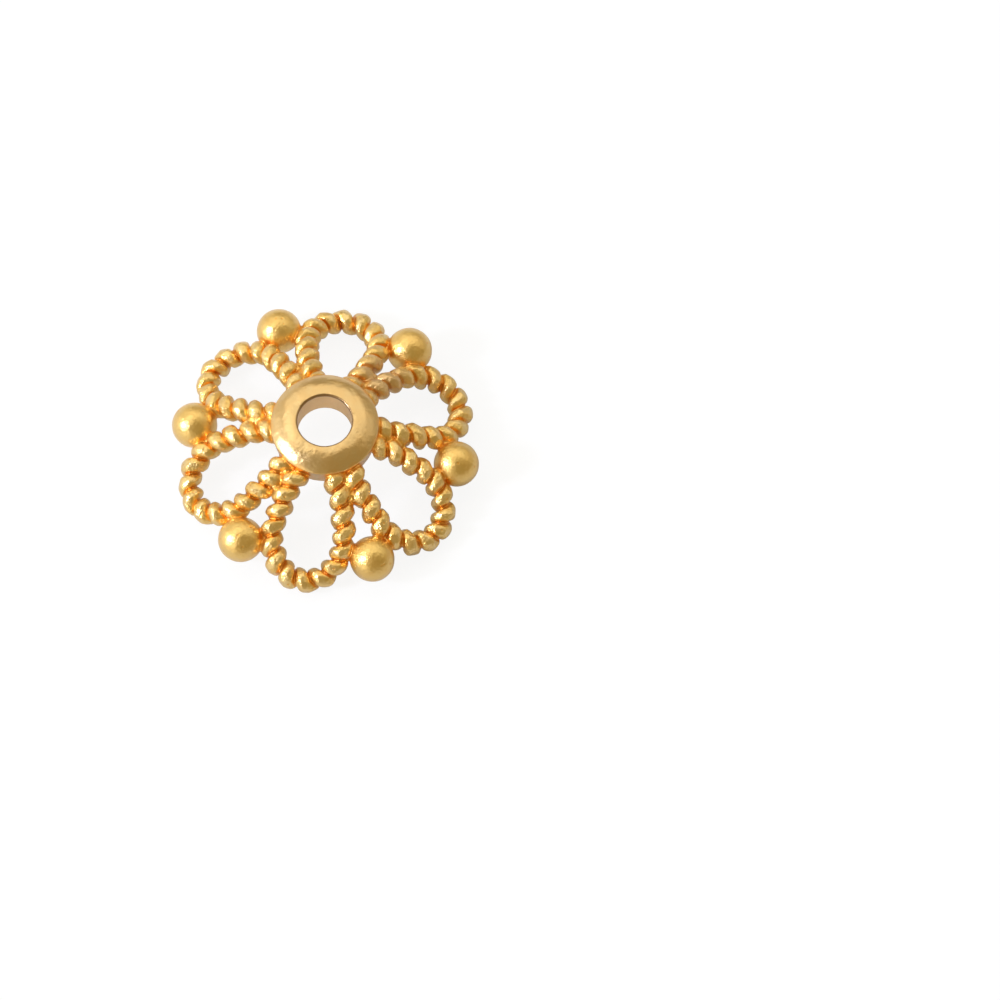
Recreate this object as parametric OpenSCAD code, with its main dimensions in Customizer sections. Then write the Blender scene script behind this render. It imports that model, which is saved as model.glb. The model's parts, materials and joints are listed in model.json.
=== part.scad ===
// Filigree bead cap: a domed collar with a thread hole, six looped petals of
// rope wire round it and six balls in the notches between the petals.
// Cast and plated as one piece. It lies on its petal tips, with the hole upright
// and the origin on the surface, under the middle of the hole.

/* [Collar] */
// Diameter of the thread hole
hole_d = 2.1; // [1.2:0.05:2.5]
// Diameter of the collar at the edge of its dome
collar_d = 4.16; // [4:0.02:4.5]
// Diameter of the collar's flat underside
collar_base_d = 3.9; // [3.6:0.02:4]
// Height of the collar's side wall, from its underside to the edge of the dome
collar_wall = 0.98; // [0.94:0.02:1.4]
// Rise of the dome from its edge to the rim of the hole
dome_rise = 0.4; // [0.1:0.02:0.6]
// Height of the collar's underside above the surface that the petals rest on
cap_depth = 2.05; // [1.2:0.02:3]

/* [Petals] */
// Number of petals, with a ball between each two
petals = 6; // [5:1:6]
// Radius from the hole's axis to the middle of the wire at a petal's tip
petal_reach = 5.47; // [5.2:0.05:6.4]
// Radius of a petal's rounded tip, to the middle of the wire
tip_radius = 1.39; // [1.1:0.01:1.5]
// Sideways swell of a petal's legs, half way between collar and tip
leg_swell = 0.1; // [0:0.01:0.25]
// How far the middle of a petal arches above a straight line from root to tip
arch_rise = 0.24; // [0:0.02:0.6]

/* [Rope wire] */
// Diameter over the turns of the coiled strand
wire_d = 0.93; // [0.7:0.02:1]
// Length of wire that holds one turn of the strand
turn_pitch = 0.7; // [0.6:0.02:0.9]
// Depth of the groove between one turn and the next
groove_depth = 0.22; // [0.1:0.01:0.27]

/* [Balls] */
// Diameter of a ball
ball_d = 1.74; // [1.4:0.02:1.9]
// How far a ball sinks into the wire of the petals on its two sides
ball_bite = 0.14; // [0.06:0.01:0.25]
// How far a ball's middle lies below the middle of the wire beside it
ball_drop = 0.16; // [0:0.01:0.3]

/* [Solder] */
// Height of the solder in the crease between two petals' legs, beside the collar
crease_solder_h = 0.56; // [0.3:0.02:0.6]
// Diameter of the drop of solder where a ball touches the wire
seat_solder_d = 0.7; // [0.5:0.02:0.8]

/* [Hidden] */
$fn = 96;

hole_r = hole_d / 2;
collar_r = collar_d / 2;
collar_base_r = collar_base_d / 2;
wire_r = wire_d / 2;
ball_r = ball_d / 2;

// Heights above the surface
tip_z = wire_r;
base_z = cap_depth;
dome_edge_z = base_z + collar_wall;
hole_rim_z = dome_edge_z + dome_rise;

// The dome is nearly flat round the hole and steepens towards its edge
dome_fullness = 2.4;
rim_round = 0.06;
rim_r = hole_r + rim_round;

// A leg's middle meets the collar's wall here, flush with its underside
leg_seat_lift = 0.01;
leg_z = base_z + wire_r + leg_seat_lift;
// Depth of a leg's root inside the collar's wall, short of the hole
root_share = 0.4;
root_inset = (collar_base_r - hole_r) * root_share;

// Legs of neighbouring petals lie side by side at the collar and share this much
leg_share = 0.18;
leg_pitch = wire_d * (1 - leg_share);
half_turn = 180 / petals;
leg_foot_r = collar_base_r;
leg_foot_angle = half_turn - asin(leg_pitch / 2 / leg_foot_r);

// A petal's plan, along +X: two straight legs that run into a round tip
tip_centre = petal_reach - tip_radius;
foot = leg_foot_r * [cos(leg_foot_angle), sin(leg_foot_angle)];
foot_to_centre = [tip_centre, 0] - foot;
foot_gap = norm(foot_to_centre);
leg_angle = atan2(foot_to_centre.y, foot_to_centre.x) + asin(tip_radius / foot_gap);
leg_length = sqrt(foot_gap * foot_gap - tip_radius * tip_radius);
leg_way = [cos(leg_angle), sin(leg_angle)];
leg_out = [-sin(leg_angle), cos(leg_angle)];
tip_sweep = 90 + leg_angle;
tip_length = tip_radius * tip_sweep * PI / 180;
// Length of the stretch of leg that is inside the collar's wall
root_length = root_inset / cos(leg_foot_angle - leg_angle);

// Balls touch the wire of both neighbouring petals
seat_gap = wire_r + ball_r - ball_bite;
ball_reach = tip_radius + sqrt(seat_gap * seat_gap - ball_drop * ball_drop);
ball_ring_r = tip_centre * cos(half_turn)
    + sqrt(ball_reach * ball_reach - pow(tip_centre * sin(half_turn), 2));
ball_touch = [ball_ring_r * cos(half_turn) - tip_centre, ball_ring_r * sin(half_turn)];
ball_touch_r = norm([tip_centre, 0] + ball_touch * tip_radius / ball_reach);
ball_z = wire_height(ball_touch_r) - ball_drop;

// Point on a ball's surface, towards the wire that it touches on one side
function seat_point(side) =
    let (
        ball_middle = [ball_ring_r, 0, ball_z],
        petal_middle = tip_centre * [cos(half_turn), side * sin(half_turn)],
        to_petal = petal_middle - [ball_ring_r, 0],
        wire_middle = [ball_ring_r, 0] + to_petal * (1 - tip_radius / norm(to_petal)),
        to_wire = [wire_middle.x, wire_middle.y, ball_z + ball_drop] - ball_middle
    )
    ball_middle + to_wire * ball_r / norm(to_wire);

// Section of the coiled strand: angle from its crest, and the share of the groove's
// depth by which it stands above the groove's floor
SECTION = [
    // angle, share
    [-155, 0.60],
    [-115, 0.85],
    [-70, 0.97],
    [-25, 1.00],
    [25, 1.00],
    [70, 0.97],
    [115, 0.85],
    [155, 0.60],
    [180, 0.00],
];
floor_share = (wire_r - groove_depth) / wire_r;
rings_per_turn = 6;
// At the middle of a petal's tip the strand's crest is underneath
tip_turn = -90;
// Length over which a petal's direction is measured
way_step = 0.01;

// Height of the wire's middle at a radius from the hole's axis
function wire_height(r) =
    let (share = (r - leg_foot_r) / (petal_reach - leg_foot_r))
    leg_z + (tip_z - leg_z) * share + arch_rise * 4 * share * max(0, 1 - share);

// Point on a petal's first half, at a length along its plan from the foot
function half_point(along) =
    along < leg_length
        ? foot + leg_way * along + leg_out * leg_swell * sin(180 * max(0, along) / leg_length)
        : let (turn = tip_sweep * (1 - (along - leg_length) / tip_length))
            [tip_centre, 0] + tip_radius * [cos(turn), sin(turn)];

// Point on the whole petal, at a length from its middle, the tip
half_length = leg_length + tip_length;
function petal_plan(from_tip) =
    let (p = half_point(half_length - abs(from_tip)))
    [p.x, from_tip < 0 ? p.y : -p.y];

function petal_point(from_tip) =
    let (p = petal_plan(from_tip))
    [p.x, p.y, wire_height(norm(p))];

// Points of one section, turned as the strand is there, square to the petal's way
function section_ring(from_tip, turn) =
    let (
        way = petal_point(from_tip + way_step) - petal_point(from_tip - way_step),
        along = way / norm(way),
        side = cross([0, 0, 1], along) / norm(cross([0, 0, 1], along)),
        up = cross(along, side),
        middle = petal_point(from_tip)
    )
    [for (row = SECTION)
        let (a = row[0] + turn, r = wire_r * (floor_share + (1 - floor_share) * row[1]))
        middle + r * (side * cos(a) + up * sin(a))];

// A leg's distance from the crease that it shares with the neighbouring petal's
// leg, and its distance from the hole's axis along that crease
function crease_gap(along) =
    let (p = half_point(along))
    norm(p) * sin(half_turn - atan2(p.y, p.x));

function crease_reach(along) =
    let (p = half_point(along))
    norm(p) * cos(half_turn - atan2(p.y, p.x));

// Sections along a petal, evenly spaced in its plan, and the length of wire up to each
plan_length = 2 * (half_length + root_length);
ring_count = round(plan_length / turn_pitch * rings_per_turn);

function station(i) = plan_length * (i / ring_count - 0.5);

wire_run = [for (
    i = 0, run = 0;
    i <= ring_count;
    i = i + 1, run = run + norm(petal_point(station(i)) - petal_point(station(i - 1)))
) run];
wire_length = wire_run[ring_count];

module collar() {
    dome_steps = 8;
    rim_steps = 3;
    cut_past = 1;
    difference() {
        rotate_extrude()
            polygon(concat(
                [[0, base_z], [collar_base_r, base_z]],
                [for (i = [0 : dome_steps])
                    let (out = 1 - i / dome_steps)
                    [rim_r + (collar_r - rim_r) * out,
                        dome_edge_z + dome_rise * (1 - pow(out, dome_fullness))]],
                [for (i = [1 : rim_steps])
                    let (a = 90 * i / rim_steps)
                    [rim_r - rim_round * sin(a), hole_rim_z - rim_round * (1 - cos(a))]],
                [[0, hole_rim_z - rim_round]]
            ));
        translate([0, 0, base_z - cut_past])
            cylinder(r = hole_r, h = hole_rim_z - base_z + 2 * cut_past);
    }
}

// Closed skin over a row of rings that have as many points each
module skin(rings) {
    around = len(rings[0]);
    last = len(rings) - 1;
    points = [for (ring = rings) each ring];
    sides = [for (i = [0 : last - 1], k = [0 : around - 1])
        let (
            a = i * around + k,
            b = i * around + (k + 1) % around,
            c = a + around,
            d = b + around
        )
        each [[a, c, b], [b, c, d]]];
    near_end = [for (k = [0 : around - 1]) k];
    far_end = [for (k = [around - 1 : -1 : 0]) last * around + k];
    polyhedron(points = points, faces = concat([near_end], sides, [far_end]), convexity = 8);
}

module rope_petal() {
    skin([for (i = [0 : ring_count])
        section_ring(station(i), tip_turn + 360 * (wire_run[i] - wire_length / 2) / turn_pitch)]);
}

// Solder along +X between two legs, from the collar's wall to where the wires part
module crease_solder() {
    steps = 12;
    half_h = crease_solder_h / 2;
    legs = [for (i = [0 : steps]) leg_length * i / steps];
    soldered = [for (along = legs) if (crease_gap(along) < wire_r) along];
    skin([for (along = concat([-root_length], soldered))
        let (
            x = crease_reach(along),
            y = crease_gap(along),
            z = wire_height(x)
        )
        [[x, y, z], [x, 0, z + half_h], [x, -y, z], [x, 0, z - half_h]]]);
}

// Ball on +X, with a drop of solder on each side where it touches a petal's wire
module ball() {
    drop_sides = 10;
    translate([ball_ring_r, 0, ball_z])
        sphere(r = ball_r);
    for (side = [-1, 1])
        translate(seat_point(side))
            sphere(d = seat_solder_d, $fn = drop_sides);
}

module bead_cap() {
    color("goldenrod")
        union() {
            collar();
            for (i = [0 : petals - 1]) {
                rotate([0, 0, 2 * half_turn * i])
                    rope_petal();
                rotate([0, 0, half_turn * (2 * i + 1)]) {
                    crease_solder();
                    ball();
                }
            }
        }
}

bead_cap();
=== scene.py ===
import json
from math import acos, asin, atan2, ceil, cos, hypot, pi, radians, sin, sqrt

import bpy
import numpy as np
from mathutils import Matrix, Vector


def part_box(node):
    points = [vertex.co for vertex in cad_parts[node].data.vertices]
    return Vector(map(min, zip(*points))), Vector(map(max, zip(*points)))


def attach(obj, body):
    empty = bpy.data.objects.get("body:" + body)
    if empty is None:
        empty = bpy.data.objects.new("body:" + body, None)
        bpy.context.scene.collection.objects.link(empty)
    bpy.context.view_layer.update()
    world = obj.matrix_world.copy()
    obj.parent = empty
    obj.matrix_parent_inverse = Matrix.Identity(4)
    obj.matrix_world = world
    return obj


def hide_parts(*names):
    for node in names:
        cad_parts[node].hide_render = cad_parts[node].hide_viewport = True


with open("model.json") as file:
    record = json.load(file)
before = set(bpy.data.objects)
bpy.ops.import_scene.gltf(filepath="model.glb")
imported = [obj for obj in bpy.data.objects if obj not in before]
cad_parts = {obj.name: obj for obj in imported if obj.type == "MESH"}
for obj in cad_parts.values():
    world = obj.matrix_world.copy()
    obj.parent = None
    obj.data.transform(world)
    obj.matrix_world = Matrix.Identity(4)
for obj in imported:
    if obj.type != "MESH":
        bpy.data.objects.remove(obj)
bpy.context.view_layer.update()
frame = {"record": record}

bl_info = {
    "name": "Filigree Bead Cap",
    "version": (1, 0, 0),
    "blender": (4, 5, 0),
    "location": "View3D > Sidebar > Bead Cap",
    "description": "Dresses a flower-shaped bead cap of rope wire, balls and a domed collar in matte gold",
    "category": "Object",
}

NODE = "bead_cap"
PIECE = "gold_bead_cap"
MOUNTS = {mount["name"]: mount for mount in frame["record"]["mounts"]}
HOLE_RADIUS = MOUNTS["thread_hole"]["dims"]["r_mm"] / 1000
UNDERSIDE = MOUNTS["bead_face"]["pos_m"][2]
# Height of the solid's lowest point, under the petals' tips
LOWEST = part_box(NODE)[0][2]
# The metal is worked on in millimetres, because Blender's voxels can't be smaller than 0.0001 units
MM = 1000


def size_of(name, text, default):
    """A length in metres that a user may change."""
    return bpy.props.FloatProperty(
        name=name, description=text, default=default, min=0.0, precision=5, unit="LENGTH"
    )


def colour_of(name, text, default):
    """A colour that a user may change."""
    return bpy.props.FloatVectorProperty(
        name=name, description=text, default=default, size=3, min=0.0, max=1.0, subtype="COLOR"
    )


class CollarSizes(bpy.types.PropertyGroup):
    """Sizes of the domed collar."""

    hole_radius: size_of("Hole radius", "Radius of the thread hole", HOLE_RADIUS)
    edge_radius: size_of("Edge radius", "Radius at the edge of the dome", 0.00208)
    base_radius: size_of("Base radius", "Radius of the flat underside", 0.00195)
    wall: size_of("Wall", "Height of the side wall", 0.00098)
    rise: size_of("Dome rise", "Rise of the dome from its edge to the hole", 0.0004)
    fullness: bpy.props.FloatProperty(
        name="Fullness", description="How late the dome falls away from the hole", default=2.4, min=1.0
    )
    corner: size_of("Corner", "Radius of the collar's worn corners", 0.00005)
    rim: size_of("Rim", "Width of the worn rim of the thread hole", 0.00008)
    bevel: size_of("Bevel", "Width of the bevel of the thread hole, underneath", 0.00015)


class PetalSizes(bpy.types.PropertyGroup):
    """Sizes of the looped petals and of their rope wire."""

    count: bpy.props.IntProperty(name="Petals", description="Number of petals", default=6, min=3)
    reach: size_of("Reach", "Radius to the middle of the wire at a petal's tip", 0.00547)
    tip_radius: size_of("Tip radius", "Radius of a petal's rounded tip", 0.00139)
    swell: size_of("Leg swell", "Sideways swell of a petal's legs", 0.0001)
    arch: size_of("Arch", "Rise of the middle of a petal", 0.00024)
    wire_radius: size_of("Wire radius", "Radius over the turns of the coiled strand", 0.000465)
    groove: size_of("Groove", "Depth of the groove between the turns", 0.00024)
    leg_share: bpy.props.FloatProperty(
        name="Leg share", description="Share of its width that a leg has in common with its neighbour",
        default=0.18, min=0.0, max=1.0, subtype="FACTOR",
    )
    pitch: size_of("Turn pitch", "Length of wire that holds one turn of the strand", 0.0007)
    web: size_of("Solder", "Height of the solder in the crease between two legs", 0.00056)


class BallSizes(bpy.types.PropertyGroup):
    """Sizes of the balls between the petals."""

    radius: size_of("Radius", "Radius of a ball", 0.00087)
    bite: size_of("Bite", "Depth to which a ball sinks into the wire", 0.00014)
    drop: size_of("Drop", "How far a ball lies below the wire beside it", 0.00016)
    solder: size_of("Solder", "Diameter of the drop of solder where a ball touches the wire", 0.0006)
    sink: size_of("Solder sink", "How far the drop has run down below the contact", 0.00014)


class CastingSizes(bpy.types.PropertyGroup):
    """How finely the metal is modelled."""

    voxel: size_of("Voxel", "Size of the voxels that fuse the pieces", 0.00003)
    faces: bpy.props.IntProperty(
        name="Triangles", description="Most triangles in the finished piece", default=196000, min=1000
    )


class GoldColours(bpy.types.PropertyGroup):
    """Colours of the matte gold plate, and of the light and shade painted on it."""

    plate: colour_of("Plate", "Gold of the raised surfaces", (0.93, 0.64, 0.2))
    # The crest colour is a painted highlight on top of the turns
    crest: colour_of("Crest highlight", "Paler gold, painted bright, on top of the turns", (0.95, 0.77, 0.42))
    # The groove colour is partly the plate's own deeper tone and partly painted inter-reflection, the orange
    # that light takes on bouncing between gold surfaces; it also tints random cloudy patches of plain tone
    groove: colour_of("Groove", "Gold down in the grooves", (0.95, 0.45, 0.05))
    # Painted shade: brown at the very bottom of the grooves
    crevice_shade: colour_of("Crevice shade", "Brown at the very bottom of the grooves", (0.5, 0.2, 0.03))
    collar: colour_of("Collar", "Smoother, browner gold of the collar", (0.81, 0.57, 0.25))
    # Painted reflection: paler gold on the thread hole's wall, as if it mirrored the bright paper below
    hole: colour_of("Hole", "Paler gold inside the thread hole", (0.97, 0.66, 0.3))
    # Painted shade: a thin dark line round the rim of the thread hole
    rim: colour_of("Rim", "Dark line round the rim of the thread hole", (0.25, 0.15, 0.07))
    # Painted shade: duller, browner legs on the side of the collar away from the key light
    leg_shade: colour_of("Leg shade", "Dull brown of the legs on one side of the collar", (0.74, 0.49, 0.24))


SIZES = {
    "bead_cap_collar": CollarSizes,
    "bead_cap_petals": PetalSizes,
    "bead_cap_balls": BallSizes,
    "bead_cap_casting": CastingSizes,
    "bead_cap_gold": GoldColours,
}


def joining(operation, value_first=False):
    """A method that joins a link and a value by a Math node."""
    def method(link, value):
        values = [value, link] if value_first else [link, value]
        return link.plan.add("Math", {"operation": operation}, values).out()
    return method


class Link:
    """A node's output that adds Math nodes to its tree when it takes part in arithmetic."""

    __add__ = joining("ADD")
    __radd__ = joining("ADD", value_first=True)
    __sub__ = joining("SUBTRACT")
    __rsub__ = joining("SUBTRACT", value_first=True)
    __mul__ = joining("MULTIPLY")
    __truediv__ = joining("DIVIDE")
    __rtruediv__ = joining("DIVIDE", value_first=True)
    __pow__ = joining("POWER")

    def __init__(self, plan, socket):
        self.plan = plan
        self.socket = socket

    def maths(self, operation, *values):
        """The number after a Math node."""
        return self.plan.add("Math", {"operation": operation}, [self, *values]).out()

    def vector(self, operation, *values, out="Vector"):
        """The same point or direction after a Vector Math node."""
        return self.plan.add("VectorMath", {"operation": operation}, [self, *values]).out(out)

    def times(self, value):
        """A vector multiplied by a number."""
        return self.plan.add("VectorMath", {"operation": "SCALE"}, {0: self, "Scale": value}).out()


class Node:
    """A node just added, whose outputs can be taken by name."""

    def __init__(self, plan, node):
        self.plan = plan
        self.node = node

    def out(self, name=0):
        return Link(self.plan, self.node.outputs[name])


# Kinds of node that geometry trees share with shader trees
SHARED_KINDS = {
    "CombineXYZ", "MapRange", "Math", "Mix", "TexNoise", "TexVoronoi", "TexWhiteNoise", "VectorMath",
}


class Plan:
    """Adds nodes to a shader or geometry tree."""

    def __init__(self, tree, family):
        self.tree = tree
        self.family = family

    def add(self, kind, settings=None, values=None, family=None):
        """Adds a node of that type, makes its settings, then sets or links its inputs."""
        node = self.tree.nodes.new((family or self.family_of(kind)) + kind)
        for key, value in (settings or {}).items():
            setattr(node, key, value)
        pairs = enumerate(values) if isinstance(values, (list, tuple)) else (values or {}).items()
        for key, value in pairs:
            self.fill(node.inputs[key], value)
        return Node(self, node)

    def family_of(self, kind):
        """How a node type's full name starts."""
        return "ShaderNode" if kind in SHARED_KINDS else self.family

    def fill(self, socket, value):
        """Links a socket to another node, or sets its value."""
        if isinstance(value, Node):
            value = value.out()
        if isinstance(value, Link):
            self.tree.links.new(value.socket, socket)
        elif value is not None:
            socket.default_value = value

    def mix(self, share, first, second):
        """A colour between two colours."""
        values = {0: share, 6: colour(first), 7: colour(second)}
        return self.add("Mix", {"data_type": "RGBA"}, values).out(2)

    def ramp(self, value, low, high, kind="SMOOTHSTEP"):
        """A value that goes from 0 to 1 while the one given goes from low to high."""
        return self.add("MapRange", {"interpolation_type": kind}, [value, low, high]).out()


def colour(value):
    """A link as it is, or a colour with its fourth number."""
    return value if isinstance(value, Link) else (*value, 1.0)


class Recipe(Plan):
    """A geometry tree with named inputs, run once on an object to give a plain mesh."""

    def __init__(self, name, *numbers):
        super().__init__(bpy.data.node_groups.new(name, "GeometryNodeTree"), "GeometryNode")
        face = self.tree.interface
        face.new_socket("Geometry", in_out="INPUT", socket_type="NodeSocketGeometry")
        kinds = {"Seed": "Int", "Material": "Material"}
        for label in (*numbers, "Material"):
            face.new_socket(label, in_out="INPUT", socket_type="NodeSocket" + kinds.get(label, "Float"))
        face.new_socket("Geometry", in_out="OUTPUT", socket_type="NodeSocketGeometry")
        self.entry = self.add("GroupInput", family="Node")
        self.exit = self.add("GroupOutput", family="Node")

    def input(self, label):
        return self.entry.out(label)

    def carried(self, name, kind="FLOAT"):
        """A value that the mesh carries at each point."""
        return self.add("InputNamedAttribute", {"data_type": kind}, {"Name": name}).out("Attribute")

    def finish(self, geometry):
        """Ends the tree: instances made real, and the material set."""
        real = self.add("RealizeInstances", values=[geometry])
        dressed = self.add("SetMaterial", values={"Geometry": real, "Material": self.input("Material")})
        self.fill(self.exit.node.inputs[0], dressed)
        return self

    def run(self, source, name, values):
        """The recipe's result on the source object, as a plain mesh."""
        modifier = source.modifiers.new(name, "NODES")
        modifier.node_group = self.tree
        for item in self.tree.interface.items_tree:
            if item.in_out == "INPUT" and item.name in values:
                modifier[item.identifier] = values[item.name]
        mesh = evaluated(source, name)
        source.modifiers.remove(modifier)
        return mesh


def evaluated(thing, name):
    """A plain mesh of the object with its modifiers carried out."""
    bpy.context.view_layer.update()
    graph = bpy.context.evaluated_depsgraph_get()
    mesh = bpy.data.meshes.new_from_object(thing.evaluated_get(graph), depsgraph=graph)
    mesh.name = name
    return mesh


def show(name, mesh):
    """Adds an object for a mesh to the scene, in place of an older one of that name."""
    old = bpy.data.objects.get(name)
    if old:
        bpy.data.objects.remove(old)
    thing = bpy.data.objects.new(name, mesh)
    bpy.context.scene.collection.objects.link(thing)
    return thing


def take(name):
    """The object of that name that an earlier operator left."""
    thing = bpy.data.objects.get(name)
    if thing is None:
        raise RuntimeError(f"{name} isn't there: run the step that makes it first")
    return thing


def blank_material(name):
    """A new material with an empty tree, and the plan that fills it."""
    material = bpy.data.materials.new(name)
    material.use_nodes = True
    material.node_tree.nodes.clear()
    return material, Plan(material.node_tree, "ShaderNode")


def mesh_from(name, points, faces=(), edges=()):
    """A mesh of those points, and of the faces or edges between them."""
    mesh = bpy.data.meshes.new(name)
    mesh.from_pydata([tuple(p) for p in points], edges, faces)
    mesh.update()
    return mesh


def places(mesh):
    """Where each point of the mesh is."""
    out = np.empty(len(mesh.vertices) * 3)
    mesh.vertices.foreach_get("co", out)
    return out.reshape(-1, 3)


def place(mesh, points):
    """Moves each point of the mesh to its new place."""
    mesh.vertices.foreach_set("co", points.ravel())
    mesh.update()


def normals(mesh):
    """Which way the surface faces at each point of the mesh."""
    out = np.empty(len(mesh.vertices) * 3)
    mesh.vertex_normals.foreach_get("vector", out)
    return out.reshape(-1, 3)


def heading(angle):
    """The direction in plan at an angle from +X."""
    return np.array([cos(angle), sin(angle)])


# Depth of a leg's root inside the collar, as a share of the collar's width
ROOT_SHARE = 0.4


class CapPlan:
    """Places that the pieces share, in millimetres, worked out from the sizes."""

    def __init__(self, scene):
        collar, petals, balls = scene.bead_cap_collar, scene.bead_cap_petals, scene.bead_cap_balls
        self.hole_r = collar.hole_radius * MM
        self.edge_r = collar.edge_radius * MM
        self.base_r = collar.base_radius * MM
        self.base_z = UNDERSIDE * MM
        self.edge_z = self.base_z + collar.wall * MM
        self.rim_z = self.edge_z + collar.rise * MM
        self.fullness = collar.fullness
        self.corner = collar.corner * MM
        self.rim = collar.rim * MM
        self.bevel = collar.bevel * MM
        self.count = petals.count
        self.wire_r = petals.wire_radius * MM
        self.groove = petals.groove * MM
        self.reach = petals.reach * MM
        self.tip_r = petals.tip_radius * MM
        self.swell = petals.swell * MM
        self.arch = petals.arch * MM
        self.pitch = petals.pitch * MM
        self.web = petals.web * MM / 2
        self.half_turn = pi / self.count
        leg_pitch = 2 * self.wire_r * (1 - petals.leg_share)
        foot_angle = self.half_turn - asin(leg_pitch / 2 / self.base_r)
        self.foot = heading(foot_angle) * self.base_r
        self.foot_z = self.base_z + self.wire_r
        self.tip_x = self.reach - self.tip_r
        tip_centre = np.array([self.tip_x, 0])
        to_centre = tip_centre - self.foot
        gap = hypot(*to_centre)
        self.leg_angle = atan2(to_centre[1], to_centre[0]) + asin(self.tip_r / gap)
        self.leg = sqrt(gap**2 - self.tip_r**2)
        self.sweep = pi / 2 + self.leg_angle
        self.tip = self.tip_r * self.sweep
        self.root = (self.base_r - self.hole_r) * ROOT_SHARE
        self.ball_r = balls.radius * MM
        self.drop_r = balls.solder * MM / 2
        drop = balls.drop * MM
        seat = self.wire_r + self.ball_r - balls.bite * MM
        reach = self.tip_r + sqrt(seat**2 - drop**2)
        side = self.tip_x * sin(self.half_turn)
        self.ball_ring = self.tip_x * cos(self.half_turn) + sqrt(reach**2 - side**2)
        ball = heading(self.half_turn) * self.ball_ring
        touch = tip_centre + (ball - tip_centre) * self.tip_r / reach
        self.ball_z = self.height(hypot(*touch)) - drop
        middle = np.array([*ball, self.ball_z])
        to_wire = np.array([*touch, self.ball_z + drop]) - middle
        self.seat = middle + to_wire * self.ball_r / np.linalg.norm(to_wire)
        self.seat[2] -= balls.sink * MM

    def height(self, radius):
        """Height of the wire's middle at a distance from the hole's axis."""
        share = (radius - self.base_r) / (self.reach - self.base_r)
        fall = self.foot_z + (self.wire_r - self.foot_z) * share
        return fall + self.arch * 4 * share * max(0, 1 - share)

    def wire(self, from_tip):
        """Middle of a petal's wire at a length along its plan from the tip; the petal points along +X."""
        along = self.leg + self.tip - abs(from_tip)
        if along < self.leg:
            out = self.swell * sin(pi * max(0, along) / self.leg)
            x = self.foot[0] + along * cos(self.leg_angle) - out * sin(self.leg_angle)
            y = self.foot[1] + along * sin(self.leg_angle) + out * cos(self.leg_angle)
        else:
            turn = self.sweep * (1 - (along - self.leg) / self.tip)
            x = self.tip_x + self.tip_r * cos(turn)
            y = self.tip_r * sin(turn)
        return x, (y if from_tip < 0 else -y), self.height(hypot(x, y))


# Names of the pieces before they are fused
RAW_COLLAR = "raw_collar"
RAW_PETALS = "raw_petals"
RAW_BALLS = "raw_balls"
RAW_SOLDER = "raw_solder"
RAW_DROPS = "raw_drops"

# Width of one turn of the strand as a share of the room that it has; the rest is the groove's floor
LOBE_WIDTH = 0.88
# Points round the outline of the wire
WIRE_SIDES = 40
# How far the turns sway to and fro, in radians, and the noise that they follow, per millimetre
SWAY = 0.25
SWAY_SCALE = 0.8
# How much one turn of the strand differs in size from another, and the seed of those sizes
TURN_UNEVENNESS = 0.1
TURN_SEED = 3
# The same for the balls and the drops of solder, and how finely both are modelled
BALL_UNEVENNESS = 0.012
BALL_SEED = 4
BALL_SUBDIVISIONS = 6


def wire_recipe():
    """A strand coiled tightly along each path, its turns parted by a deep groove."""
    recipe = Recipe("Rope wire", "Wire Radius", "Groove Depth", "Wobble", "Unevenness", "Seed")
    path = recipe.add("MeshToCurve", values=[recipe.input("Geometry")])
    here = recipe.add("InputPosition").out()
    tangent = recipe.add("InputTangent").out()
    keep = recipe.add("CaptureAttribute")
    for label, value in (("Middle", here), ("Way", tangent)):
        keep.node.capture_items.new("VECTOR", label)
        recipe.fill(keep.node.inputs[label], value)
    recipe.fill(keep.node.inputs["Geometry"], path)
    profile = recipe.add("CurvePrimitiveCircle", values={
        "Resolution": WIRE_SIDES, "Radius": recipe.input("Wire Radius"),
    }).out("Curve")
    tube = recipe.add("CurveToMesh", values={
        "Curve": keep.out("Geometry"), "Profile Curve": profile, "Fill Caps": True,
    })
    middle, way = keep.out("Middle"), keep.out("Way")
    level = recipe.add("CombineXYZ", values=[0.0, 0.0, 1.0]).out()
    side = level.vector("CROSS_PRODUCT", way).vector("NORMALIZE")
    up = way.vector("CROSS_PRODUCT", side)
    spoke = here.vector("SUBTRACT", middle)
    across = spoke.vector("DOT_PRODUCT", side, out="Value")
    above = spoke.vector("DOT_PRODUCT", up, out="Value")
    # Measured from the wire's top, so that one turn of the strand ends at its underside
    angle = (across * -1).maths("ARCTAN2", above)
    turn, petal = recipe.carried("turn"), recipe.carried("petal", "INT")
    sway = recipe.add("TexNoise", values={"Vector": middle, "Scale": SWAY_SCALE}).out(0)
    phase = angle - turn - (sway - 0.5) * recipe.input("Wobble")
    from_crest = phase.maths("WRAP", pi, -pi).maths("ABSOLUTE") / (pi * LOBE_WIDTH)
    lobe = (1 - from_crest.maths("MINIMUM", 1.0) ** 2.0) ** 0.5
    number = (phase / (2 * pi) + 0.5).maths("FLOOR")
    chance = recipe.add("TexWhiteNoise", {"noise_dimensions": "4D"}, {
        "Vector": petal, "W": number + recipe.input("Seed"),
    }).out("Value")
    groove = recipe.input("Groove Depth") / recipe.input("Wire Radius")
    size = 1 + (chance - 0.5) * recipe.input("Unevenness")
    share = size * (1 - groove * (1 - lobe))
    shaped = recipe.add("SetPosition", values={
        "Geometry": tube, "Position": middle.vector("ADD", spoke.times(share)),
    })
    return recipe.finish(shaped)


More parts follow.
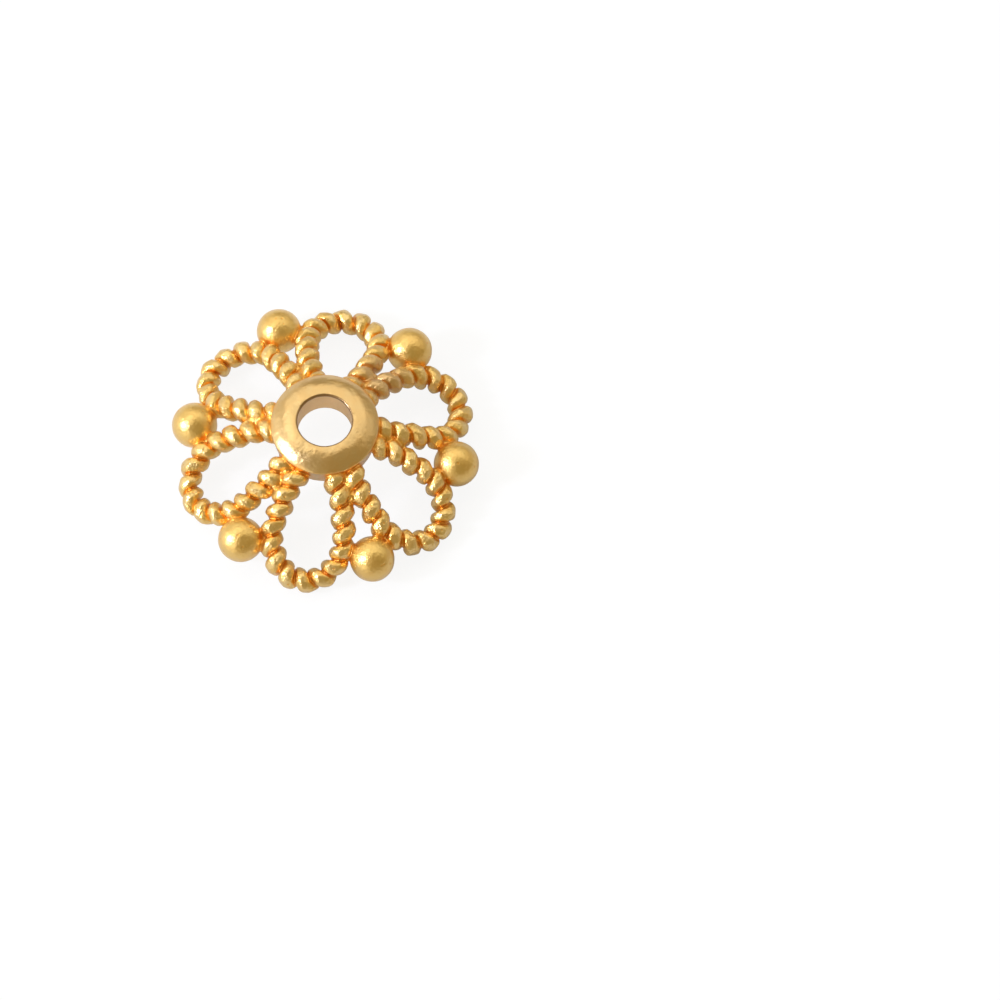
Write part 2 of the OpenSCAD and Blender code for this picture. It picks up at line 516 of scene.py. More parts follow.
def ball_recipe():
    """A slightly uneven ball at each seat."""
    recipe = Recipe("Balls", "Radius", "Unevenness", "Seed")
    seats = recipe.add("MeshToPoints", values={"Mesh": recipe.input("Geometry")})
    ball = recipe.add("MeshIcoSphere", values={
        "Radius": recipe.input("Radius"), "Subdivisions": BALL_SUBDIVISIONS,
    }).out("Mesh")
    uneven = recipe.input("Unevenness")
    scale = recipe.add("RandomValue", {"data_type": "FLOAT_VECTOR"}, {
        "Min": 1 - uneven, "Max": 1 + uneven, "Seed": recipe.input("Seed"),
    }, family="FunctionNode").out("Value")
    placed = recipe.add("InstanceOnPoints", values={"Points": seats, "Instance": ball, "Scale": scale})
    return recipe.finish(placed)


def rounded(corners, radii):
    """A closed outline of (r, z) corners, each cut round by its own radius where it has room."""
    steps = 5
    straight = radians(160)
    least = 0.05
    out = []
    for i, (corner, radius) in enumerate(zip(corners, radii)):
        here = np.array(corner)
        before, after = np.array(corners[i - 1]), np.array(corners[(i + 1) % len(corners)])
        back, on = before - here, after - here
        back_length, on_length = hypot(*back), hypot(*on)
        back, on = back / back_length, on / on_length
        bend = acos(max(-1, min(1, back @ on)))
        if bend > straight:
            out.append(tuple(here))
            continue
        slope = sin(bend / 2) / max(least, cos(bend / 2))
        cut = min(radius / max(least, slope), back_length / 2, on_length / 2)
        for k in range(steps + 1):
            t = k / steps
            p = (1 - t) ** 2 * (here + back * cut) + 2 * t * (1 - t) * here + t**2 * (here + on * cut)
            out.append(tuple(p))
    return out


def quads(here, there, corners):
    """Faces between two rings of as many corners, numbered from here and from there."""
    return [
        (here + k, there + k, there + (k + 1) % corners, here + (k + 1) % corners) for k in range(corners)
    ]


def collar_mesh(cap):
    """The domed ring, turned about the hole's axis."""
    round_steps, dome_steps = 240, 14
    dome = []
    for i in range(dome_steps + 1):
        out = 1 - i / dome_steps
        r = cap.hole_r + cap.rim * (i < dome_steps) + (cap.edge_r - cap.hole_r - cap.rim) * out
        dome.append((r, cap.edge_z + (cap.rim_z - cap.edge_z) * (1 - out**cap.fullness)))
    radii = [cap.corner] * (3 + dome_steps) + [cap.rim]
    foot = [
        (cap.hole_r, cap.base_z + cap.bevel),
        (cap.hole_r + cap.bevel, cap.base_z),
        (cap.base_r, cap.base_z),
    ]
    outline = rounded([*foot, *dome], radii)
    rows = len(outline)
    points, faces = [], []
    for i in range(round_steps):
        a = 2 * pi * i / round_steps
        points += [(r * cos(a), r * sin(a), z) for r, z in outline]
        faces += quads(i * rows, (i + 1) % round_steps * rows, rows)
    return mesh_from(RAW_COLLAR, points, faces)


# How loosely each petal's strand is wound, how far its crest is from the wire's top at the tip,
# and how the turns draw together from one leg to the other
COILS = (
    # share of the turns' pitch, degrees, degrees per square millimetre
    (1.002, 33, 1.5),
    (1.022, 57, -1.5),
    (0.989, 14, 1.5),
    (0.980, 35, -1.5),
    (0.972, 0, 3.1),
    (0.982, 38, 0.0),
)


def petal_row(cap):
    """Points along the middle of one petal's wire, along +X, and the length of wire from its tip to each."""
    step = 0.03
    length = 2 * (cap.leg + cap.tip + cap.root)
    count = ceil(length / step)
    row = np.array([cap.wire(length * (i / count - 0.5)) for i in range(count + 1)])
    run = np.concatenate(([0], np.cumsum(np.linalg.norm(np.diff(row, axis=0), axis=1))))
    return row, run - run[-1] / 2


def strand_turn(cap, petal, from_tip):
    """Angle of the strand's crest from the wire's top, at a length of wire from a petal's tip."""
    stretch, start, bend = COILS[petal % len(COILS)]
    return 2 * pi * from_tip / (cap.pitch * stretch) + radians(start) + radians(bend) * from_tip**2


def dots(first, second):
    """The dot product of each row of one array with the same row of the other."""
    return np.einsum("ij,ij->i", first, second)


def from_axis(points):
    """How far points lie from the hole's axis."""
    return np.hypot(points[:, 0], points[:, 1])


def turned(points, angle):
    """Points turned about the hole's axis."""
    x, y, z = points.T
    return np.stack([x * cos(angle) - y * sin(angle), x * sin(angle) + y * cos(angle), z], axis=1)


def petal_paths(cap):
    """The middle of each petal's wire as a row of edges, with the strand's angle at each point."""
    row, run = petal_row(cap)
    points, edges, turns, petals = [], [], [], []
    for petal in range(cap.count):
        first = len(points)
        points += list(turned(row, 2 * cap.half_turn * petal))
        edges += [(first + i, first + i + 1) for i in range(len(row) - 1)]
        turns += list(strand_turn(cap, petal, run))
        petals += [petal] * len(row)
    mesh = mesh_from("petal_paths", points, edges=edges)
    mesh.attributes.new("turn", "FLOAT", "POINT").data.foreach_set("value", turns)
    mesh.attributes.new("petal", "INT", "POINT").data.foreach_set("value", petals)
    return mesh


def solder_mesh(cap):
    """A thin web in each crease between two petals' legs, from the collar to where the wires part."""
    row, run = petal_row(cap)
    reach = from_axis(row)
    gap = reach * np.sin(cap.half_turn - np.arctan2(row[:, 1], row[:, 0]))
    leg = row[(run < 0) & (reach < cap.tip_x) & (gap < cap.wire_r)]
    points, faces = [], []
    corners = 4
    for i in range(cap.count):
        first = len(points)
        for x, y, z in leg:
            out, side = hypot(x, y), hypot(x, y) * sin(cap.half_turn - atan2(y, x))
            section = [(out, across, z + up) for across, up in (
                (side, 0), (0, cap.web), (-side, 0), (0, -cap.web),
            )]
            points += list(turned(np.array(section), (2 * i + 1) * cap.half_turn))
        last = len(points) - corners
        for here in range(first, last, corners):
            faces += quads(here, here + corners, corners)
        faces += [tuple(range(first, first + corners)), tuple(range(last + corners - 1, last - 1, -1))]
    return mesh_from(RAW_SOLDER, points, faces)


class Step:
    """One step of making the cap."""

    def execute(self, context):
        self.make(context.scene, CapPlan(context.scene))
        return {"FINISHED"}


class MakeCollar(Step, bpy.types.Operator):
    """Turn the domed collar, and lay solder in the creases beside it"""

    bl_idname = "beadcap.collar"
    bl_label = "Collar"

    def make(self, scene, cap):
        show(RAW_COLLAR, collar_mesh(cap))
        show(RAW_SOLDER, solder_mesh(cap))


class CoilPetals(Step, bpy.types.Operator):
    """Coil a strand along each petal's loop"""

    bl_idname = "beadcap.petals"
    bl_label = "Rope petals"

    def make(self, scene, cap):
        path = show("petal_paths", petal_paths(cap))
        mesh = wire_recipe().run(path, RAW_PETALS, {
            "Wire Radius": cap.wire_r,
            "Groove Depth": cap.groove,
            "Wobble": SWAY,
            "Unevenness": TURN_UNEVENNESS,
            "Seed": TURN_SEED,
            "Material": gold_material(scene),
        })
        bpy.data.objects.remove(path)
        show(RAW_PETALS, mesh)


class SeatBalls(Step, bpy.types.Operator):
    """Seat a ball between each two petals, with a drop of solder on each side"""

    bl_idname = "beadcap.balls"
    bl_label = "Balls"

    def make(self, scene, cap):
        ring = np.array([[cap.ball_ring, 0, cap.ball_z]])
        left, right = cap.seat[None, :], cap.seat[None, :] * (1, -1, 1)
        seats, drops = [], []
        for i in range(cap.count):
            seats += list(turned(ring, (2 * i + 1) * cap.half_turn))
            drops += [*turned(left, 2 * i * cap.half_turn), *turned(right, 2 * i * cap.half_turn)]
        recipe = ball_recipe()
        for name, spots, radius in ((RAW_BALLS, seats, cap.ball_r), (RAW_DROPS, drops, cap.drop_r)):
            source = show("ball_seats", mesh_from("ball_seats", spots))
            mesh = recipe.run(source, name, {
                "Radius": radius,
                "Unevenness": BALL_UNEVENNESS,
                "Seed": BALL_SEED,
                "Material": gold_material(scene),
            })
            bpy.data.objects.remove(source)
            show(name, mesh)


def neighbours(mesh):
    """Both ends of each edge, and how many edges meet at each vertex."""
    ends = np.empty(len(mesh.edges) * 2, dtype=np.int32)
    mesh.edges.foreach_get("vertices", ends)
    ends = ends.reshape(-1, 2)
    count = np.bincount(ends.ravel(), minlength=len(mesh.vertices))
    return ends[:, 0], ends[:, 1], count


def around(values, ring):
    """The mean of each vertex's neighbours."""
    first, second, count = ring
    total = np.bincount(first, values[second], len(values))
    total += np.bincount(second, values[first], len(values))
    return total / count


def pull(points, ring):
    """From each vertex to the middle of its neighbours."""
    return np.stack([around(line, ring) - line for line in points.T], axis=1)


def spread(values, ring, times):
    """Values averaged with their neighbours' a number of times."""
    for _ in range(times):
        values = (values + around(values, ring)) / 2
    return values


def smooth(points, ring, times):
    """Takes the steps out of a surface without shrinking it."""
    inward, outward = 0.5, 0.53
    for _ in range(times):
        points = points + inward * pull(points, ring)
        points = points - outward * pull(points, ring)
    return points


def by_ball(cap, points):
    """The x and y of points turned about the hole's axis until the nearest ball is on +X."""
    angle = np.arctan2(points[:, 1], points[:, 0])
    sector = np.mod(angle, 2 * cap.half_turn) - cap.half_turn
    r = from_axis(points)
    return r * np.cos(sector), r * np.sin(sector)


def from_ball(cap, points):
    """How far points lie from the surface of the nearest ball."""
    x, y = by_ball(cap, points)
    return np.sqrt((x - cap.ball_ring) ** 2 + y**2 + (points[:, 2] - cap.ball_z) ** 2) - cap.ball_r


def nearness(distance, reach):
    """1 where the distance is none, and 0 from the reach outwards."""
    return np.clip(1 - distance / reach, 0, 1)


# How much metal has run into each kind of joint, and how far it reaches in millimetres
JOINTS = {"ball": (0.2, 0.2), "collar": (0.3, 0.3), "leg": (0.8, 0.25)}
# Distance from the collar over which neighbouring legs touch, in millimetres
LEGS_TOUCH = 1.5
# Stands for a long way off, in millimetres
FAR = 9.0
# How often the metal runs a little further, and how much of that happens away from the joints
SOLDER_ROUNDS = 12
RUN_ELSEWHERE = 0.03


def joint_share(cap, points):
    """Where metal has run between the pieces: at the balls' seats, the collar and between legs."""
    r = from_axis(points)
    gaps = {
        "ball": np.abs(from_ball(cap, points)),
        "collar": np.abs(r - cap.edge_r),
        "leg": np.where(r < cap.base_r + LEGS_TOUCH, np.abs(by_ball(cap, points)[1]), FAR),
    }
    share = sum(amount * nearness(gaps[name], reach) for name, (amount, reach) in JOINTS.items())
    return np.clip(share, 0, 1)


def run_solder(cap, mesh):
    """Fills the creases where pieces meet, and only softens them elsewhere; stores where bare wire is."""
    ring = neighbours(mesh)
    points = smooth(places(mesh), ring, 1)
    share = RUN_ELSEWHERE + (1 - RUN_ELSEWHERE) * joint_share(cap, points)
    for _ in range(SOLDER_ROUNDS):
        place(mesh, points)
        out = normals(mesh)
        lift = dots(pull(points, ring), out)
        points = points + (np.maximum(lift, 0) * share)[:, None] * out
    place(mesh, smooth(points, ring, 1))
    clear = np.minimum(from_ball(cap, points), from_axis(points) - cap.edge_r)
    edge, fade = 0.02, 0.1
    store(mesh, "wire", np.clip((clear - edge) / fade, 0, 1))


def store(mesh, name, values):
    """Keeps a number for each point in the mesh."""
    found = mesh.attributes.get(name) or mesh.attributes.new(name, "FLOAT", "POINT")
    found.data.foreach_set("value", np.asarray(values, dtype=np.float32))


def stored(mesh, name):
    """The numbers that store kept."""
    values = np.empty(len(mesh.vertices), dtype=np.float32)
    mesh.attributes[name].data.foreach_get("value", values)
    return values


# Width of the slice in which a petal's wire is looked for, as a share of its own slice
PETAL_SLICE = 1.6
# Points compared with a petal's path at a time, to save memory
CHUNK = 4000


def mark_strand(cap, mesh):
    """Stores the angle from the strand's crest as a sine and cosine, and how near another piece is."""
    points = places(mesh)
    total = len(points)
    row, run = petal_row(cap)
    way = np.gradient(row, axis=0)
    way /= np.linalg.norm(way, axis=1)[:, None]
    side = np.cross([0, 0, 1], way)
    side /= np.linalg.norm(side, axis=1)[:, None]
    up = np.cross(way, side)
    r = from_axis(points)
    wall = np.abs(r - cap.edge_r) + np.maximum(0, cap.base_z - points[:, 2])
    gaps = [np.abs(from_ball(cap, points)), wall]
    sine, cosine, closest = np.zeros(total), np.ones(total), np.full(total, FAR)
    for petal in range(cap.count):
        local = turned(points, -2 * cap.half_turn * petal)
        gap = np.full(total, FAR)
        angle = np.abs(np.arctan2(local[:, 1], local[:, 0]))
        beside = np.flatnonzero((angle < cap.half_turn * PETAL_SLICE) & (r > cap.hole_r))
        for some in np.array_split(beside, max(1, len(beside) // CHUNK)):
            apart = local[some, None, :] - row[None, :, :]
            squares = np.einsum("ijk,ijk->ij", apart, apart)
            at = squares.argmin(axis=1)
            spoke = local[some] - row[at]
            along = dots(spoke, way[at])
            gap[some] = np.sqrt(np.maximum(squares[np.arange(len(some)), at] - along**2, 0)) - cap.wire_r
            phase = np.arctan2(-dots(spoke, side[at]), dots(spoke, up[at]))
            phase -= strand_turn(cap, petal, run[at] + along)
            mine = gap[some] < closest[some]
            sine[some] = np.where(mine, np.sin(phase), sine[some])
            cosine[some] = np.where(mine, np.cos(phase), cosine[some])
        closest = np.minimum(closest, gap)
        gaps.append(np.maximum(gap, 0))
    store(mesh, "sine", sine)
    store(mesh, "cosine", cosine)
    store(mesh, "joint", np.sort(np.stack(gaps), axis=0)[1])


# How strongly creases and ridges count as groove and crest
GROOVE_GAIN = 9
CREST_GAIN = 6
# How far the collar's look goes past its edge, and the width and height over which it fades
COLLAR_PAST = 0.05
COLLAR_FADE = 0.08
HEIGHT_FADE = 0.1


def mark_surface(cap, mesh):
    """Stores how deep in a groove, and how far on the collar, each point of the surface is."""
    ring = neighbours(mesh)
    points = places(mesh)
    lift = dots(pull(points, ring), normals(mesh))
    edge = np.sqrt(np.mean(np.sum((points[ring[0]] - points[ring[1]]) ** 2, axis=1)))
    crease = spread(lift / edge, ring, 4)
    store(mesh, "groove", np.clip(crease * GROOVE_GAIN, 0, 1))
    store(mesh, "crest", np.clip(-crease * CREST_GAIN, 0, 1))
    z = points[:, 2]
    on_collar = np.clip((cap.edge_r + COLLAR_PAST - from_axis(points)) / COLLAR_FADE, 0, 1)
    on_collar *= np.clip((z - cap.base_z) / HEIGHT_FADE + 1, 0, 1)
    store(mesh, "collar", spread(on_collar, ring, 2))
    below = np.clip((cap.base_z + HEIGHT_FADE - z) / HEIGHT_FADE, 0, 1)
    store(mesh, "underside", below * (on_collar > 0))


# Height and size of the soft lumps, in millimetres, and how much of them the collar and balls have
LUMP_HEIGHT = 0.05
LUMP_SIZE = 0.4
CALM_SHARE = 0.35
# Size of the small flats on the wire, radius of the hollow that makes one, and how far that is sunk
FLAT_SIZE = 0.3
FLAT_RADIUS = 0.9
FLAT_DEPTH = 0.01


def skin_recipe():
    """Soft lumps of a cast surface, and on the wire the small flats left by tumbling."""
    recipe = Recipe("Cast skin", "Lump Height", "Lump Size", "Flat Size", "Flat Radius")
    here = recipe.add("InputPosition").out()
    normal = recipe.add("InputNormal").out()
    wire = recipe.carried("wire")
    lumps = recipe.add("TexNoise", values={
        "Vector": here, "Scale": 1 / recipe.input("Lump Size"), "Detail": 1.0,
    }).out(0)
    cell = recipe.add("TexVoronoi", {"feature": "SMOOTH_F1"}, {
        "Vector": here, "Scale": 1 / recipe.input("Flat Size"), "Smoothness": 0.1,
    }).out("Distance") * recipe.input("Flat Size")
    # A hollow as round as the wire is, so that the two add up to a flat with ridges round it
    flats = (cell**2 / recipe.input("Flat Radius") / 2 - FLAT_DEPTH) * wire
    soft = (lumps - 0.5) * recipe.input("Lump Height") * (CALM_SHARE + wire * (1 - CALM_SHARE))
    moved = recipe.add("SetPosition", values={
        "Geometry": recipe.input("Geometry"), "Offset": normal.times(soft + flats),
    })
    smoothed = recipe.add("SetShadeSmooth", values={"Geometry": moved, "Shade Smooth": True})
    return recipe.finish(smoothed)


class CastCap(Step, bpy.types.Operator):
    """Fuse the collar, petals and balls into one casting, and give it its surface"""

    bl_idname = "beadcap.cast"
    bl_label = "Casting"

    def make(self, scene, cap):
        casting = scene.bead_cap_casting
        material = gold_material(scene)
        parts = [take(name) for name in (RAW_COLLAR, RAW_PETALS, RAW_BALLS, RAW_SOLDER, RAW_DROPS)]
        bpy.ops.object.select_all(action="DESELECT")
        for part in parts:
            part.select_set(True)
        bpy.context.view_layer.objects.active = parts[0]
        bpy.ops.object.join()
        whole = parts[0]
        remesh = whole.modifiers.new("Fuse", "REMESH")
        remesh.mode = "VOXEL"
        remesh.voxel_size = casting.voxel * MM
        fused = evaluated(whole, PIECE)
        bpy.data.objects.remove(whole)
        run_solder(cap, fused)
        work = show("fused_cap", fused)
        skinned = skin_recipe().run(work, PIECE, {
            "Lump Height": LUMP_HEIGHT,
            "Lump Size": LUMP_SIZE,
            "Flat Size": FLAT_SIZE,
            "Flat Radius": FLAT_RADIUS,
            "Material": material,
        })
        work.data = skinned
        skinned.calc_loop_triangles()
        thin = work.modifiers.new("Thin", "DECIMATE")
        thin.ratio = min(1.0, casting.faces / len(skinned.loop_triangles))
        final = evaluated(work, PIECE)
        bpy.data.objects.remove(work)
        points = places(final)
        calm = smooth(points, neighbours(final), 6)
        points += (calm - points) * (1 - stored(final, "wire"))[:, None]
        points[:, 2] = np.maximum(points[:, 2], LOWEST * MM)
        place(final, points)
        mark_surface(cap, final)
        mark_strand(cap, final)
        final.transform(Matrix.Scale(1 / MM, 4))
        final.shade_smooth()
        final.materials.clear()
        final.materials.append(material)
        piece = show(PIECE, final)
        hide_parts(NODE)
        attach(piece, "root")


# Where a colour starts and where it is full, on the way from a turn's crest (0) to its groove's bottom (1)
CREST_HIGHLIGHT_FADE = (0.55, 0.15)
SEAM_FADE = (0.76, 0.92)
CREVICE_SHADE_FADE = (0.86, 1.0)
# Distances from another piece at which the groove's colour, partly painted inter-reflection, starts and is
# full, in millimetres
JOINT_FADE = (0.16, 0.03)
# Middle of the patch of painted shade on the legs, where the collar keeps the key light off them, and where
# it starts and is full, in millimetres
LEG_SHADE_AT = (3.0, 1.35, 2.6)
LEG_SHADE_FADE = (1.6, 0.5)
# Below this roughness the denoiser leaves specks in the grain
LEAST_ROUGHNESS = 0.285
# Sizes of the patterns in the gold, in millimetres
CLOUD_SIZE = 0.5
PIT_SIZE = 0.3
BLOTCH_SIZE = 0.25
SKIN_SIZE = 0.13
COARSE_SIZE = 0.12
GRAIN_SIZE = 0.06
# Depth that a bump of 1 stands for, in metres
BUMP_DEPTH = 0.00002


def gold_material(scene):
    """Matte gold plate: a painted highlight on the crests, orange grooves that are partly the plate's tone
    and partly painted inter-reflection, painted shade at the grooves' bottoms, in the pits, on some legs and
    round the hole's rim, a painted reflection in the hole, a browner collar, soft grain and pits.
    """
    found = bpy.data.materials.get("matte_gold")
    if found:
        return found
    gold = scene.bead_cap_gold
    cap = CapPlan(scene)
    material, plan = blank_material("matte_gold")
    here = plan.add("TexCoord").out("Object").times(MM)

    def mark(name):
        return plan.add("Attribute", {"attribute_name": name}).out("Fac")

    def noise(size, detail=2.0, rough=0.5):
        values = {"Vector": here, "Scale": 1 / size, "Detail": detail, "Roughness": rough}
        return plan.add("TexNoise", values=values).out(0)

    def cells(size):
        return plan.add("TexVoronoi", values={"Vector": here, "Scale": 1 / size})

    groove, crest, wire = mark("groove"), mark("crest"), mark("wire")
    collar, under = mark("collar"), mark("underside")
    # How far a point is from the crest of its turn: 1 is the bottom of the groove between two turns
    away = mark("sine").maths("ARCTAN2", mark("cosine")).maths("ABSOLUTE") / pi
    seam = plan.ramp(away, *SEAM_FADE) * wire
    joint = plan.ramp(mark("joint"), *JOINT_FADE, kind="LINEAR")
    tone = plan.mix(collar, gold.plate, gold.collar)
    # Painted highlight: paler gold towards each turn's crest
    tone = plan.mix(plan.ramp(away, *CREST_HIGHLIGHT_FADE) * wire * 0.4, tone, gold.crest)
    # Painted inter-reflection, partly the plate's own tone: orange in creases, in the seams between turns
    # and beside other pieces
    tone = plan.mix((groove * 0.4).maths("MAXIMUM", seam.maths("MAXIMUM", joint * 0.8)), tone, gold.groove)
    # Painted shade at the bottom of the grooves between turns
    tone = plan.mix(plan.ramp(away, *CREVICE_SHADE_FADE) * wire * 0.5, tone, gold.crevice_shade)
    cloud = plan.ramp(noise(CLOUD_SIZE), 0.35, 0.65)
    tone = plan.mix(cloud * 0.12, tone, gold.groove)
    grain = noise(GRAIN_SIZE, 3.0, 0.6)
    rough = 0.35 + (grain - 0.5) * 0.12 - collar * 0.04 - wire * 0.04 + groove * 0.08 - crest * 0.06
    blotches = (noise(BLOTCH_SIZE, 1.0) - 0.5) * 0.25 * (1 - collar)
    rough = (rough + blotches).maths("MAXIMUM", LEAST_ROUGHNESS)
    # A pit in about every second cell
    pits = cells(PIT_SIZE)
    chosen = plan.add("SeparateXYZ", values=[pits.out("Color")]).out(0)
    pit = plan.ramp(pits.out("Distance"), 0.22, 0.1) * plan.ramp(chosen, 0.5, 0.55) * (1 - collar)
    # Painted shade: the pits take the orange of the grooves
    tone = plan.mix(pit * 0.6, tone, gold.groove)
    # Painted shade on the legs beside the collar; the patch's edge is ragged
    from_leg_shade = here.vector("SUBTRACT", LEG_SHADE_AT).vector("LENGTH", out="Value")
    shaded_legs = plan.ramp(from_leg_shade + (noise(CLOUD_SIZE) - 0.5) * 1.2, *LEG_SHADE_FADE) * wire
    tone = plan.mix(shaded_legs * 0.75, tone, gold.leg_shade)
    rough = rough + shaded_legs * 0.08
    # The thread hole's wall is painted paler, a painted reflection of the bright paper below, and its rim
    # has a thin dark line of painted shade
    radius = here.vector("MULTIPLY", (1, 1, 0)).vector("LENGTH", out="Value")
    level = plan.add("SeparateXYZ", values=[here]).out(2)
    bore_reflection = plan.ramp(radius, cap.hole_r + 0.08, cap.hole_r + 0.04) * collar
    tone = plan.mix(bore_reflection, tone, gold.hole)
    # Painted shade: the dark line round the rim
    line = plan.ramp(radius, cap.hole_r + 0.08, cap.hole_r + 0.05) * collar
    tone = plan.mix(line * plan.ramp(level, cap.rim_z - 0.16, cap.rim_z - 0.1) * 0.8, tone, gold.rim)
    # Relief too fine for the mesh: grain, pits, seams, a coarse underside and ridges between the flats
    coarse = plan.ramp(noise(COARSE_SIZE, 3.0, 0.65), 0.35, 0.5)
    flats = cells(FLAT_SIZE).out("Distance")
    relief = noise(SKIN_SIZE, 2.0, 0.6) * (2.4 + wire * 1.8 - collar * 1.6)
    relief = relief + grain * (0.9 - collar * 0.6) - pit + noise(CLOUD_SIZE) * collar * 4.5
    relief = relief + coarse * under * 2 - seam * 2 + flats**2.0 * wire * 1.5
    bump = plan.add("Bump", None, {"Strength": 0.5, "Distance": BUMP_DEPTH, "Height": relief}).out()
    surface = plan.add("BsdfPrincipled", None, {
        "Base Color": tone, "Metallic": 1.0, "Roughness": rough, "Normal": bump,
        "Coat Weight": 0.85 - bore_reflection * 0.6, "Coat Roughness": 0.32,
    })
    plan.add("OutputMaterial", None, {"Surface": surface})
    return material


PHOTO_WIDTH = 1000
# Where the middle of the ring of balls shows, in the photograph's pixels
RING_AT = (325.4, 444.6)
# Width over two opposite balls there
CAP_WIDTH_PX = 310.5
CAMERA_AZIMUTH = radians(-20.87)
CAMERA_HEIGHT = radians(67.0)
CAMERA_AWAY = 0.45
SENSOR = 36.0
CLIP = (0.01, 10)

# Side of the cap, turned from the right of the picture, on which the paper is brighter
BRIGHT_SIDE = radians(150)
# The paper's glow as the metal sees it, there and opposite, the dim side a painted shadow of the cap, and
# how far off each is full, in millimetres
BRIGHT_GLOW = (0.33, 0.33, 0.34)
DIM_GLOW = (0.14, 0.14, 0.145)
GLOW_REACH = 8
# Its glow as the camera sees it, and its own grey, for the metal and for the camera
SEEN_GLOW = (0.88, 0.885, 0.89)
METAL_SHADE = (0.5, 0.5, 0.5)
SEEN_SHADE = (0.14, 0.14, 0.14)
# Dim, warm light from everywhere
FILL = (0.375, 0.3, 0.155)
# Tints of the lamps
WHITE = (1.0, 1.0, 1.0)
COOL = (0.95, 1.0, 1.3)
# Distance of the softboxes from the cap, in metres
LAMP_AWAY = 0.5
# Softboxes: direction from the cap as the camera sees it (right, up, towards it), size in metres
LIGHTS = (
    # name, direction, size, radiance, tint
    ("key", (-0.79, -0.03, 0.6), (0.19, 0.28), 3.8, COOL),
    ("spark", (-0.8, 0.0, 0.6), (0.07, 0.07), 56.0, COOL),
    ("left", (-0.85, 0.2, 0.25), (0.4, 0.4), 0.66, WHITE),
    ("front", (-0.62, -0.6, 0.45), (0.35, 0.35), 0.8, WHITE),
    ("over", (-0.4, 0.5, 0.76), (0.28, 0.28), 0.75, WHITE),
    ("back", (-0.02, 0.82, 0.5), (0.7, 0.48), 0.74, WHITE),
    ("corner", (-0.62, 0.72, 0.0), (0.42, 0.3), 0.36, WHITE),
    ("right", (0.75, 0.5, 0.35), (0.35, 0.35), 0.36, WHITE),
)


class BuildStage(Step, bpy.types.Operator):
    """Set the floor, lights and camera"""

    bl_idname = "beadcap.stage"
    bl_label = "Stage"

    def make(self, scene, cap):
        aim_camera(scene, cap)
        light_stage(scene)
        lay_floor(scene)
        scene.view_settings.view_transform = "Standard"


def camera_ways():
    """The camera's directions: to its right, up and back towards it from the cap."""
    e, a = CAMERA_HEIGHT, CAMERA_AZIMUTH
    back = Vector((sin(a) * cos(e), -cos(a) * cos(e), sin(e)))
    right = Vector((cos(a), sin(a), 0))
    return right, back.cross(right), back


def aim_camera(scene, cap):
    """A long lens at the photograph's angle, aimed so that the cap shows where it does there."""
    across = 2 * (cap.ball_ring + cap.ball_r) / MM
    view = across * PHOTO_WIDTH / CAP_WIDTH_PX
    right, up, back = camera_ways()
    pixel = view / PHOTO_WIDTH
    middle = Vector((0, 0, cap.ball_z / MM))
    off_x, off_y = PHOTO_WIDTH / 2 - RING_AT[0], PHOTO_WIDTH / 2 - RING_AT[1]
    aim = middle + right * off_x * pixel - up * off_y * pixel
    camera = bpy.data.objects.new("camera", bpy.data.cameras.new("camera"))
    camera.data.sensor_width = SENSOR
    camera.data.lens = SENSOR * CAMERA_AWAY / view
    camera.data.clip_start, camera.data.clip_end = CLIP
    turn = Matrix((right, up, back)).transposed().to_4x4()
    camera.matrix_world = Matrix.Translation(aim + back * CAMERA_AWAY) @ turn
    scene.collection.objects.link(camera)
    scene.camera = camera


def softbox(scene, name, direction, size, radiance, tint):
    """A flat light of that radiance that faces the cap from a direction."""
    lamp = bpy.data.lights.new(name, "AREA")
    lamp.shape = "RECTANGLE"
    lamp.size, lamp.size_y = size
    lamp.energy = pi * size[0] * size[1] * radiance
    lamp.color = tint
    thing = bpy.data.objects.new(name, lamp)
    way = Vector(direction).normalized()
    facing = way.to_track_quat("Z", "Y").to_matrix().to_4x4()
    thing.matrix_world = Matrix.Translation(way * LAMP_AWAY) @ facing
    scene.collection.objects.link(thing)


def light_stage(scene):
    """Dim light from everywhere, and softboxes, the brightest of them on the left."""
    world = bpy.data.worlds.new("tent")
    scene.world = world
    world.use_nodes = True
    world.node_tree.nodes["Background"].inputs["Color"].default_value = colour(FILL)
    right, up, to_camera = camera_ways()
    for name, (x, y, z), size, radiance, tint in LIGHTS:
        softbox(scene, name, x * right + y * up + z * to_camera, size, radiance, tint)


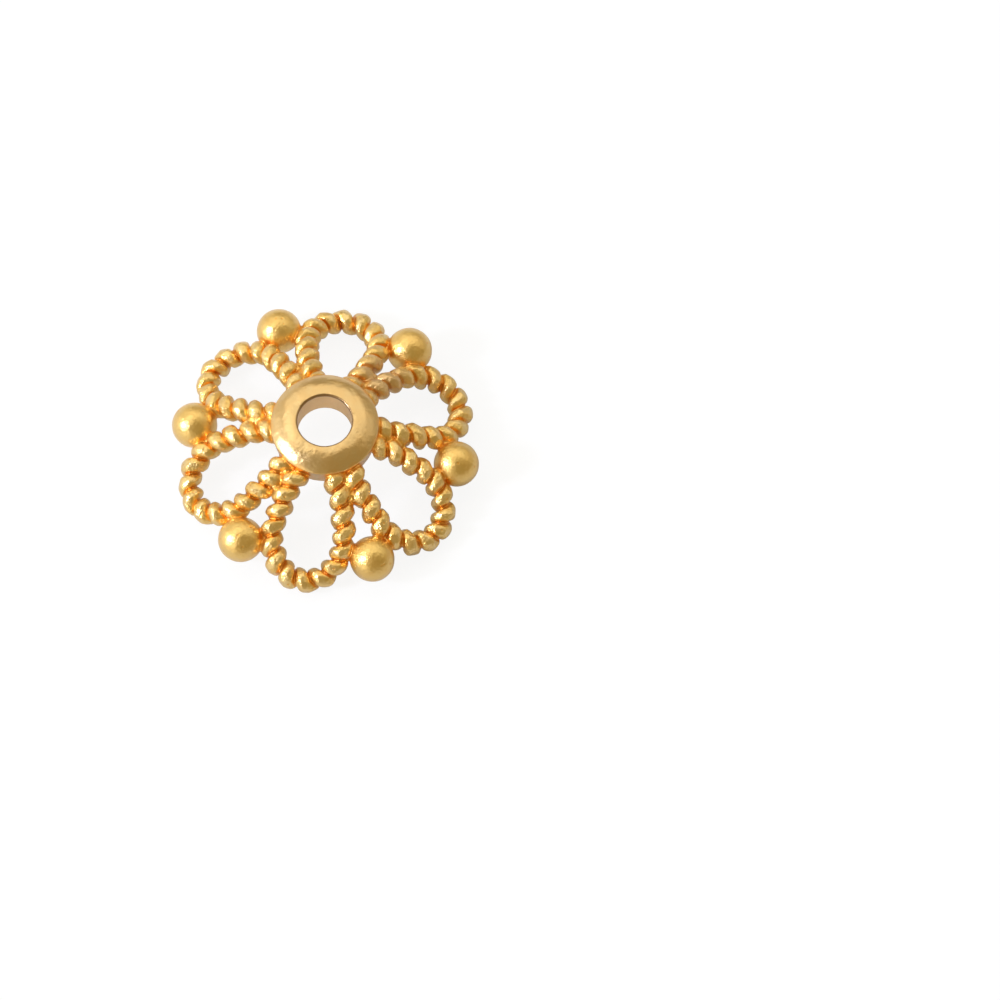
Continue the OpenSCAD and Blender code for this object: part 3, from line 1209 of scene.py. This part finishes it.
def lay_floor(scene):
    """A white floor that glows: evenly for the camera, and for the metal with the cap's shadow painted in at
    the front and right.
    """
    half = 0.6
    corners = [(-half, -half, 0), (half, -half, 0), (half, half, 0), (-half, half, 0)]
    floor = show("floor", mesh_from("floor", corners, [(0, 1, 2, 3)]))
    material, plan = blank_material("white_paper")

    def paper(glow, shade):
        light = plan.add("Emission", None, {"Color": colour(glow)})
        return plan.add("AddShader", None, [light, plan.add("BsdfDiffuse", None, {"Color": colour(shade)})])

    # The paper is lit through from below, which the eye sees more of than the metal does.
    # Close to the cap the metal sees it brighter at the back and left than at the front and right, where the
    # cap's shadow is painted into the glow.
    a = CAMERA_AZIMUTH + BRIGHT_SIDE
    here = plan.add("TexCoord").out("Object").times(MM)
    beside = here.vector("DOT_PRODUCT", (cos(a), sin(a), 0), out="Value")
    glow = plan.mix(plan.ramp(beside, -GLOW_REACH, GLOW_REACH), DIM_GLOW, BRIGHT_GLOW)
    eye = plan.add("LightPath").out("Is Camera Ray")
    seen = [eye, paper(glow, METAL_SHADE), paper(SEEN_GLOW, SEEN_SHADE)]
    plan.add("OutputMaterial", None, {"Surface": plan.add("MixShader", None, seen)})
    floor.data.materials.append(material)


class BeadCapPanel(bpy.types.Panel):
    """The steps and sizes of the bead cap"""

    bl_label = "Bead Cap"
    bl_idname = "VIEW3D_PT_bead_cap"
    bl_space_type = "VIEW_3D"
    bl_region_type = "UI"
    bl_category = "Bead Cap"

    def draw(self, context):
        for step in STEPS:
            self.layout.operator(step.bl_idname)
        for name, group in SIZES.items():
            box = self.layout.box()
            box.label(text=group.__doc__)
            for key in group.__annotations__:
                box.prop(getattr(context.scene, name), key)


STEPS = (MakeCollar, CoilPetals, SeatBalls, CastCap, BuildStage)
CLASSES = (*SIZES.values(), *STEPS, BeadCapPanel)


def register():
    for item in CLASSES:
        bpy.utils.register_class(item)
    for name, group in SIZES.items():
        setattr(bpy.types.Scene, name, bpy.props.PointerProperty(type=group))


def unregister():
    for name in SIZES:
        delattr(bpy.types.Scene, name)
    for item in reversed(CLASSES):
        bpy.utils.unregister_class(item)


def main():
    register()
    bpy.ops.beadcap.collar()
    bpy.ops.beadcap.petals()
    bpy.ops.beadcap.balls()
    bpy.ops.beadcap.cast()
    bpy.ops.beadcap.stage()


if __name__ == "__main__":
    main()
